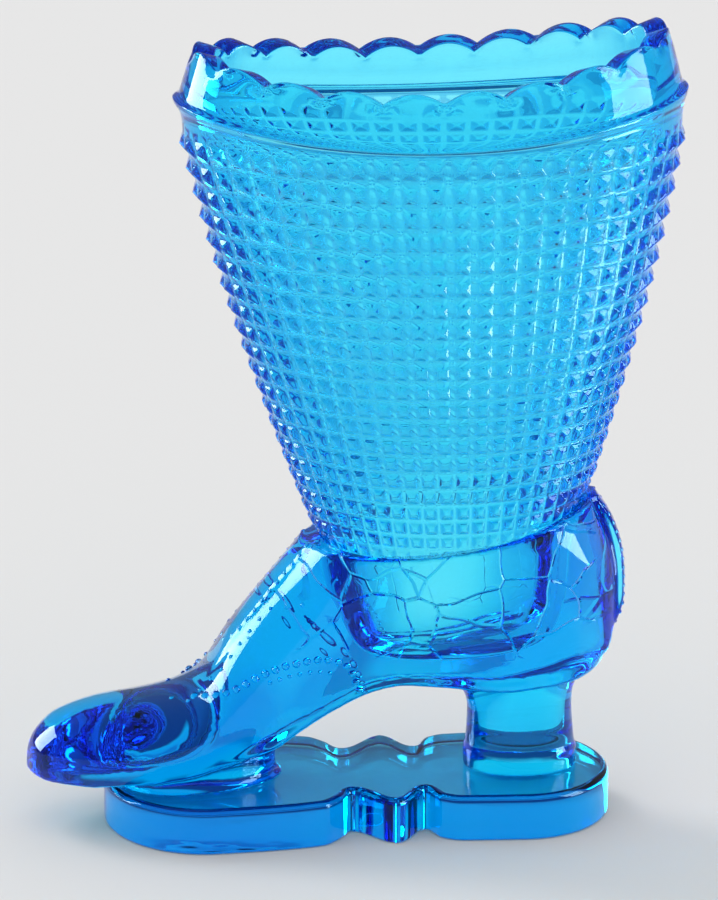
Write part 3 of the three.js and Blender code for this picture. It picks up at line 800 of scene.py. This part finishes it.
def makeSole():
    size = shoeSizes
    thick = size["soleThickness"]
    rings = []
    for u in stations(120):
        x = mix(size["toeX"], size["soleBackX"], u)
        inset = size["toeSoleInset"] * (1 - easeBetween(*size["toeSoleEnds"], u))
        half = size["ballHalfWidth"] * float(soleWidthShare(u)) * (1 - inset) + size["soleEdge"]
        low = float(soleUnder(x))
        side = [(0, low), (0.5 * half, low)]
        side += [(half - inward, low + up) for inward, up in size["soleLowEdge"]]
        side += [(half - inward, low + thick - down) for inward, down in size["soleHighEdge"]]
        side.append((0, low + thick))
        whole = side + [(-y, z) for y, z in side[1:-1][::-1]]
        rings.append([(x, y, z) for y, z in whole])
    tips = [(x, 0, float(soleUnder(x)) + 0.5 * thick) for x in (size["toeX"], size["soleBackX"])]
    return cappedLoft("sole", rings, *tips)


def makeColumn(name, x, levels):
    # an oval column from (height, reach to the front, reach to the back, half width) levels
    angle = np.linspace(0, 2 * np.pi, 97)[:-1]
    rings = []
    for z, front, back, half in levels:
        reach = np.where(np.cos(angle) > 0, back, front)
        rings.append([(x + r * math.cos(t), half * math.sin(t), z) for r, t in zip(reach, angle)])
    return cappedLoft(name, rings, (x, 0, levels[0][0]), (x, 0, levels[-1][0]))


padSizes = {
    "x": -29.6,
    "front": 10.4,
    "back": 18.6,
    "half": 12.4,
    "fillet": 1.6,
    "top": 14.5,  # inside the sole
}


def makePad():
    pad, foot = padSizes, shoeSizes["plateTop"]
    levels = []
    for t in np.linspace(0, np.pi / 2, 7):  # a concave foot that runs out onto the plate
        inset = pad["fillet"] * math.sin(t)
        height = foot + pad["fillet"] * (1 - math.cos(t))
        levels.append((height, pad["front"] - inset, pad["back"] - inset, pad["half"] - inset))
    levels.append((pad["top"], *levels[-1][1:]))
    return makeColumn("pad", pad["x"], levels)


heelSizes = {
    "x": 27.0,
    "half": 9.2,
    "halfWidth": 7.4,
    "band": 3.5,
    "bandStep": 0.3,  # the band stands this much outside the heel
    "underSole": 0.93,  # of the arch's rise
    # the heel's back and front lines from the band up, as shares of its half length
    "backLine": [[0, 1], [0.3, 0.965], [0.55, 0.945], [0.72, 0.95], [0.85, 0.98], [0.95, 1.03],
                 [1.15, 1.12]],
    "frontLine": [[0, 1], [0.3, 0.97], [0.55, 0.96], [0.72, 1.0], [0.85, 1.1], [0.95, 1.26], [1.05, 1.6],
                  [1.15, 1.9]],
    "sideShare": 0.8,  # of the back line's change shows in the width
}


def makeHeel():
    heel = heelSizes
    half, halfWidth, step = heel["half"], heel["halfWidth"], heel["bandStep"]
    foot = shoeSizes["plateTop"]
    bandTop = foot + heel["band"]
    under = shoeSizes["toeSole"] + heel["underSole"] * shoeSizes["archRise"]
    backLine, frontLine = smoothLine(heel["backLine"]), smoothLine(heel["frontLine"])
    levels = [(foot, half, half, halfWidth), (bandTop - step, half, half, halfWidth)]
    for rise, inset in ((0, step / 3), (step / 2, step)):
        levels.append((bandTop + rise, half - inset, half - inset, halfWidth - inset))
    for t in np.linspace(0.08, 1.15, 20):
        height, back, front = mix(bandTop, under, t), float(backLine(t)), float(frontLine(t))
        side = mix(1, back, heel["sideShare"])
        levels.append((height, half * front - step, half * back - step, halfWidth * side - step))
    return makeColumn("heel", heel["x"], levels)


cavitySizes = {
    "floor": 28.7,
    "fullHeight": 50.0,  # here it has the leg's own hollow section
    "lengthLine": [[0, 0.5], [0.04, 0.76], [0.1, 0.88], [0.22, 0.96], [0.45, 1], [1, 1]],
    "widthLine": [[0, 0.2], [0.05, 0.4], [0.12, 0.57], [0.3, 0.76], [0.6, 0.93], [1, 1]],
}


def makeCavity():
    cavity = cavitySizes
    lengthShare, widthShare = smoothLine(cavity["lengthLine"]), smoothLine(cavity["widthLine"])
    angle = np.linspace(0, 2 * np.pi, 129)[:-1]
    rings = []
    for t in np.concatenate([np.linspace(0, 0.12, 6)[:-1], np.linspace(0.12, 1.4, 30)]):
        z = mix(cavity["floor"], cavity["fullHeight"], t)
        x, a, b = legOval(max(z, legSizes["seamFront"]))
        a = (a - legSizes["wall"]) * float(lengthShare(t))
        b = (b - legSizes["wall"]) * float(widthShare(t))
        rings.append([(x + a * math.cos(q), b * math.sin(q), z) for q in angle])
    middle = legSizes["ankleX"]
    return cappedLoft("cavity", rings, (middle, 0, cavity["floor"] - 0.5), (middle, 0, rings[-1][0][2]))


def makeAboveSeam(lift):
    # everything above the curved seam, for cutting the shoe's top
    xs = np.linspace(-60, 60, 161)
    outline = [(x, float(seamHeight(x)) + lift) for x in xs] + [(60, 120), (-60, 120)]
    count = len(outline)
    points = [(x, y, z) for y in (-40, 40) for x, z in outline]
    faces = [tuple(range(count)), tuple(range(2 * count - 1, count - 1, -1))]
    faces += [(i, (i + 1) % count, count + (i + 1) % count, count + i) for i in range(count)]
    return closedMesh("aboveSeam", points, faces)


def makeBlock(name, low, high):
    points = [(x, y, z) for x in (low[0], high[0]) for y in (low[1], high[1]) for z in (low[2], high[2])]
    faces = [(0, 1, 3, 2), (4, 6, 7, 5), (0, 4, 5, 1), (2, 3, 7, 6), (0, 2, 6, 4), (1, 5, 7, 3)]
    return closedMesh(name, points, faces)


stripSizes = {
    "strapHalf": 3.0,
    "strapProud": 1.1,
    "strapBox": ((32.0, 28.5), (60.0, 60.0)),  # length and height of two corners
    # how much the strap stands out by height: it fades into the quarter at its foot
    "strapFade": [[28, -0.3], [30.5, -0.1], [33, 0.45], [36.5, 1], [48, 1], [51.5, 0.75], [54, 0.45],
                  [60, 0.3]],
    "placketHalf": 4.6,
    "placketProud": 0.45,
    "placketBox": ((-32.0, 20.0), (-4.0, 70.0)),
    # and the placket by length: it fades into the toe
    "placketFade": [[-31, -0.3], [-26, -0.1], [-20, 0.8], [-16, 1], [0, 1]],
}


def makeStrip(name, proud, half, corners, fade):
    # a raised strip along the middle: the part of a grown shoe that lies in a block
    grown = makeUpper(name, proud, fade)
    (lowX, lowZ), (highX, highZ) = corners
    return cutOrJoin(grown, makeBlock(name + "Box", (lowX, -half, lowZ), (highX, half, highZ)), "INTERSECT")


def reshapeByVoxels(thing, smoothing=0):
    step = thing.modifiers.new("reshape", "REMESH")
    step.mode = "VOXEL"
    step.voxel_size = shoeSizes["voxel"]
    if smoothing:
        soften = thing.modifiers.new("soften", "SMOOTH")
        soften.factor = 0.5
        soften.iterations = smoothing
    return asPlainMesh(thing)


def makeShoe():
    strip = stripSizes
    strapFade, placketFade = smoothLine(strip["strapFade"]), smoothLine(strip["placketFade"])
    strap = makeStrip("strap", strip["strapProud"], strip["strapHalf"], strip["strapBox"],
                      lambda length, height: strapFade(height))
    placket = makeStrip("placket", strip["placketProud"], strip["placketHalf"], strip["placketBox"],
                        lambda length, height: placketFade(length))
    shoe = reshapeByVoxels(gather([makeUpper("upper"), strap, placket], "shoeTop"))
    faceOutwards(shoe)
    shoe = cutOrJoin(shoe, makeAboveSeam(-shoeSizes["seamGap"]), "DIFFERENCE")
    shoe = cutOrJoin(shoe, makeCavity(), "DIFFERENCE")
    shoe = gather([shoe, makeSole(), makePad(), makeHeel()], "glassShoe")
    return reshapeByVoxels(shoe, shoeSizes["smoothing"])


# moulded trim: beads along the seams, laid on the glass where a straight look meets it

trimSizes = {
    "beadDetail": 2,
    # each row: length and height of its places, the spacing, a bead's radius, how far it stands out
    "vampRow": {
        "places": [(-26, 22.6), (-23.2, 23.6), (-19.5, 25.1), (-15.9, 27), (-11.8, 28.6), (-7.8, 29.6),
                   (-5.6, 29.7), (-3.7, 29.2), (-2.1, 28.6), (-0.9, 26.6), (0.3, 23.5)],
        "spacing": 1.7, "bead": 0.68, "proud": 0.6,
    },
    "innerRow": {
        "places": [(-14.2, 26.0), (-10.8, 27.1), (-8.4, 27.5), (-6.7, 27.6), (-4.6, 27.2)],
        "spacing": 1.6, "bead": 0.38, "proud": 0.35,
    },
    "throatRow": {
        "places": [(-7.7, 46.4), (-12.7, 40.2), (-17.7, 34), (-22.5, 28.6), (-26.5, 24.5), (-29.7, 22.9)],
        "spacing": 1.9, "bead": 0.7, "proud": 0.16,
    },
    "vampDots": {
        "places": [(-29.5, 21.6), (-26.4, 22.0), (-22.0, 26.6), (-18.6, 31.2), (-14.1, 36.7), (-8.9, 38.3)],
        "spacing": 2.6, "bead": 0.4, "proud": 0.32,
    },
    "strapRow": {"heights": (31.8, 54.0), "side": 2.35, "spacing": 1.5, "bead": 0.42, "proud": 0.24},
}


def evenPlaces(places, spacing):
    # places at even steps along the line through the given ones
    places = np.array(places, float)
    steps = np.hypot(*np.diff(places, axis=0).T)
    along = np.concatenate([[0], np.cumsum(steps)])
    count = max(2, round(along[-1] / spacing) + 1)
    wanted = np.linspace(0, along[-1], count)
    return np.stack([np.interp(wanted, along, places[:, k]) for k in (0, 1)], 1)


def makeTrimTree():
    tree, board, wires = geometryTree("seamBeads", {"Detail": 2})
    bead = board.node("GeometryNodeMeshIcoSphere", {}, Radius=1.0, Subdivisions=wires["Detail"])
    beads = board.node("GeometryNodeInstanceOnPoints", {}, wires["Geometry"], Instance=bead,
                       Scale=attribute(board, "beadSize"))
    endTree(board, beads, shoeGlass)
    return tree


def makeTrim(body):
    look = BVHTree.FromObject(body, bpy.context.evaluated_depsgraph_get())
    spots, sizes = [], []

    def lay(start, direction, row):
        hit, normal, _, _ = look.ray_cast(Vector(start), Vector(direction))
        if hit:
            spots.append(hit - normal * (row["bead"] - row["proud"]))
            sizes.append(row["bead"])

    for key in ("vampRow", "innerRow", "throatRow", "vampDots"):
        row = trimSizes[key]
        for x, z in evenPlaces(row["places"], row["spacing"]):
            lay((x, -60, z), (0, 1, 0), row)
            lay((x, 60, z), (0, -1, 0), row)
    row = trimSizes["strapRow"]
    low, high = row["heights"]
    for z in np.arange(low, high, row["spacing"]):
        for side in (-row["side"], row["side"]):
            lay((80, side, z), (-1, 0, 0), row)
    trim = meshObject("seamBeads", spots, [])
    addLayer(trim, "beadSize", sizes)
    addTree(trim, makeTrimTree(), {"Detail": trimSizes["beadDetail"]})
    return asPlainMesh(trim)


shoe = makeShoe()
shoe = cutOrJoin(shoe, makeTrim(shoe), "UNION")
markHide(shoe)
shoe.data.materials.clear()
shoe.data.materials.append(shoeGlass)
smoothShade(shoe, shoeSizes["sharpEdge"])
toMetres(shoe)
print("shoe", len(shoe.data.polygons))


# base plate: two lobes joined at a waist, with a pointed bump in each side of the waist

plateSizes = {
    "front": -40.3,
    "back": 41.4,
    "toeLobe": 19.0,
    "heelLobe": 16.5,
    "waist": 10.4,
    "bump": 16.3,
    "thickness": 7.4,
    "topRound": 1.2,
    "footRound": 0.6,
}


def plateOutline():
    plate = plateSizes
    length = plate["back"] - plate["front"]
    toeLobe, heelLobe, waist, bump = (plate[key] for key in ("toeLobe", "heelLobe", "waist", "bump"))
    # half width by share of the length: toe lobe, waist, bump, waist, heel lobe
    sideLine = [
        (0.2, toeLobe), (0.3, 0.965 * toeLobe), (0.42, 0.87 * toeLobe), (0.455, 0.72 * toeLobe),
        (0.48, waist), (0.545, 0.96 * bump), (0.562, bump), (0.579, 0.96 * bump), (0.625, waist),
        (0.65, 0.87 * heelLobe), (0.69, 0.97 * heelLobe), (0.82, heelLobe),
    ]
    side = smoothLine([(plate["front"] + share * length, half) for share, half in sideLine])
    toeLobeX = plate["front"] + sideLine[0][0] * length
    heelLobeX = plate["front"] + sideLine[-1][0] * length
    turn = np.linspace(np.pi / 2, 1.5 * np.pi, 60)
    front = [(toeLobeX + (toeLobeX - plate["front"]) * math.cos(t), toeLobe * math.sin(t)) for t in turn]
    turn = np.linspace(-np.pi / 2, np.pi / 2, 60)
    back = [(heelLobeX + (plate["back"] - heelLobeX) * math.cos(t), heelLobe * math.sin(t)) for t in turn]
    xs = np.linspace(toeLobeX, heelLobeX, 150)[1:-1]
    near = [(x, -float(side(x))) for x in xs]
    far = [(x, float(side(x))) for x in xs[::-1]]
    return np.array(front + near + back + far)


def outlineNormals(outline):
    along = np.roll(outline, -1, 0) - np.roll(outline, 1, 0)
    normal = unit(np.stack([along[:, 1], -along[:, 0]], 1))
    for _ in range(6):  # evens the offsets where the outline turns sharply
        normal = unit((np.roll(normal, 1, 0) + 2 * normal + np.roll(normal, -1, 0)) / 4)
    return normal


def makePlate():
    thick, topRound, footRound = (plateSizes[key] for key in ("thickness", "topRound", "footRound"))
    outline = plateOutline()
    normal = outlineNormals(outline)
    profile = [(0.0, footRound)]  # height and inset, from the rounded foot to the rounded top edge
    for t in np.linspace(0.3, np.pi / 2, 5):
        profile.append((footRound * (1 - math.cos(t)), footRound * (1 - math.sin(t))))
    profile += [(thick * share, 0.0) for share in (0.3, 0.6)]
    for t in np.linspace(0, np.pi / 2, 8):
        profile.append((thick - topRound * (1 - math.sin(t)), topRound * (1 - math.cos(t))))
    points = []
    for z, inset in profile:
        points += [(x, y, z) for x, y in outline - normal * inset]
    size = len(outline)
    faces = bandFaces(len(profile), size, False)
    faces.append(tuple(range(size))[::-1])
    faces.append(tuple((len(profile) - 1) * size + i for i in range(size)))
    return closedMesh("glassBasePlate", points, faces)


plate = makePlate()
plate.data.materials.append(plateGlass)
for face in plate.data.polygons:
    face.use_smooth = len(face.vertices) < 6  # the two large flat faces stay flat
toMetres(plate)
print("plate", len(plate.data.polygons))

replaced = {
    legAndMouth: ("leg_wall", "diamond_field", "collar", "scalloped_rim"),
    shoe: ("vamp", "quarter", "sole", "ball_pad", "heel_block", "instep_placket", "back_strap"),
    plate: ("base_plate",),
}
for piece, nodes in replaced.items():
    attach(piece, "root")
    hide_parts(*nodes)
print("pieces placed")


# floor, light and camera, in metres

studio = {
    "sun": {"strength": 0.75, "width": 22, "from": (-0.6, 0.6, 0.8)},  # width in degrees
    "softBoxes": {  # place, aim, size, watts, and whether it is seen through the glass
        "rightSoftBox": ((0.93, -0.25, 0.46), (0, 0, 0.08), (0.5, 0.5), 7, True),
        "leftSoftBox": ((-0.85, 0.43, 0.36), (0, 0, 0.06), (0.5, 0.6), 12, True),
        "lowSoftBox": ((0.185, -0.043, 0.018), (0.034, -0.011, 0.047), (0.07, 0.03), 0.075, False),
    },
    "floor": {
        "half": 3.0, "drop": 0.00003, "grey": 0.732,
        # painted light: seen through the glass, the table is painted brighter than the plain grey the
        # camera sees
        "paintedLightInGlass": 0.98, "paintedBlueShadeInGlass": (0.5, 0.7, 0.86),
    },
    # through the glass the table has a painted bright strip behind the boot, and painted blue shade beside
    # it
    "paintedBrightStrip": {
        "x": 0.0125, "lean": 0.087,  # its middle line
        "halfWidth": 0.03, "spread": 0.12,  # at the boot, and for each metre beyond
        "sides": (0.6, 1.2),  # it fades between these shares of its half width
        "away": (0.5, 0.9),
    },
    "backdropGrey": 0.79,
    "lightOnTable": 0.93,
    "backdropInGlass": [  # colour by height, 0 at the horizon and 1 overhead
        (0.0, (0.3, 0.5, 0.72)), (0.1, (0.3, 0.5, 0.72)), (0.18, (0.72, 0.84, 0.95)),
        (0.36, (0.95, 0.95, 0.95)), (0.45, (0.05, 0.1, 0.26)),
    ],
    "roomInGlass": (0.05, 0.1, 0.26),
    "roomInGloss": 0.25,
    "backdropEnds": (-0.8, -0.2),  # towards the camera the backdrop gives way to the dark room
    "camera": {
        "place": (-0.0721, -0.8348, 0.304), "aim": (0.0007, -0.003, 0.0616),
        "lens": 219.6, "sensor": 36,
    },
}


def standAndAim(thing, place, aim):
    thing.location = place
    thing.rotation_euler = (Vector(aim) - Vector(place)).to_track_quat("-Z", "Y").to_euler()


def makeFloor():
    look, strip = studio["floor"], studio["paintedBrightStrip"]
    half, drop = look["half"], look["drop"]
    corners = [(-half, -half, -drop), (half, -half, -drop), (half, half, -drop), (-half, half, -drop)]
    floor = meshObject("floor", corners, [(0, 1, 2, 3)])
    material = bpy.data.materials.new("paleFloor")
    board = emptyBoard(material)
    place = board.node("ShaderNodeTexCoord", {}, output="Object")
    across, away = (board.node("ShaderNodeSeparateXYZ", {}, place, output=axis) for axis in "XY")
    fromMiddle = (across - strip["x"] - away * strip["lean"]).magnitude()
    halfWidth = away.atLeast(0) * strip["spread"] + strip["halfWidth"]
    aside = (fromMiddle / halfWidth).between(*strip["sides"])
    beyond = away.between(*strip["away"])
    # where the table shows painted blue shade instead of the painted bright strip, seen only through the
    # glass
    outside = 1 - (1 - aside) * (1 - beyond)
    # painted light and shade: through the glass the table shows the painted bright strip, with painted blue
    # shade beside it
    paintedLightInGlass = board.blendColours(outside, look["paintedLightInGlass"], look["paintedBlueShadeInGlass"])
    colour = board.blendColours(board.lightPath("Is Transmission Ray"), look["grey"], paintedLightInGlass)
    matt = board.node("ShaderNodeBsdfDiffuse", {}, Color=colour)
    board.node("ShaderNodeOutputMaterial", {}, Surface=matt)
    floor.data.materials.append(material)


def makeWorld():
    # the camera and the table see a pale room, the glass a backdrop and the dark around it
    world = bpy.data.worlds.new("studioLight")
    board = emptyBoard(world)
    direction = board.node("ShaderNodeTexCoord", {}, output="Generated")
    behind, up = (board.node("ShaderNodeSeparateXYZ", {}, direction, output=axis) for axis in "YZ")
    backdrop = board.node("ShaderNodeValToRGB", {"stops": studio["backdropInGlass"]}, up)
    colour = board.blendColours(behind.between(*studio["backdropEnds"]), studio["roomInGlass"], backdrop)
    onlyGloss = board.lightPath("Is Glossy Ray") * (1 - board.lightPath("Is Transmission Ray"))
    afterMatt = board.lightPath("Diffuse Depth").atMost(1)
    colour = board.blendColours(onlyGloss, colour, studio["roomInGloss"])
    colour = board.blendColours(board.lightPath("Is Camera Ray"), colour, studio["backdropGrey"])
    colour = board.blendColours(afterMatt, colour, studio["lightOnTable"])
    glow = board.node("ShaderNodeBackground", {}, Color=colour, Strength=1.0)
    board.node("ShaderNodeOutputWorld", {}, Surface=glow)
    scene.world = world


def makeSoftBox(name, place, aim, size, watts, seenThrough):
    lamp = bpy.data.lights.new(name, "AREA")
    lamp.shape = "RECTANGLE"
    lamp.size, lamp.size_y = size
    lamp.energy = watts
    thing = addObject(name, lamp)
    standAndAim(thing, place, aim)
    thing.visible_diffuse = False  # seen in the glass, while the sun and the room light the table
    thing.visible_transmission = seenThrough


def makeSun():
    # a broad soft light from high behind the boot, so that its shadow falls towards the camera
    sun = studio["sun"]
    lamp = bpy.data.lights.new("backLight", "SUN")
    lamp.energy = sun["strength"]
    lamp.angle = math.radians(sun["width"])
    thing = addObject("backLight", lamp)
    standAndAim(thing, sun["from"], (0, 0, 0))
    thing.visible_glossy = False


def makeCamera():
    look = studio["camera"]
    camera = bpy.data.cameras.new("photoCamera")
    camera.lens = look["lens"]
    camera.sensor_width = look["sensor"]
    camera.clip_start = 0.01
    scene.camera = addObject("photoCamera", camera)
    standAndAim(scene.camera, look["place"], look["aim"])


makeFloor()
makeWorld()
makeCamera()
for boxName, boxLook in studio["softBoxes"].items():
    makeSoftBox(boxName, *boxLook)
makeSun()
print("studio set")
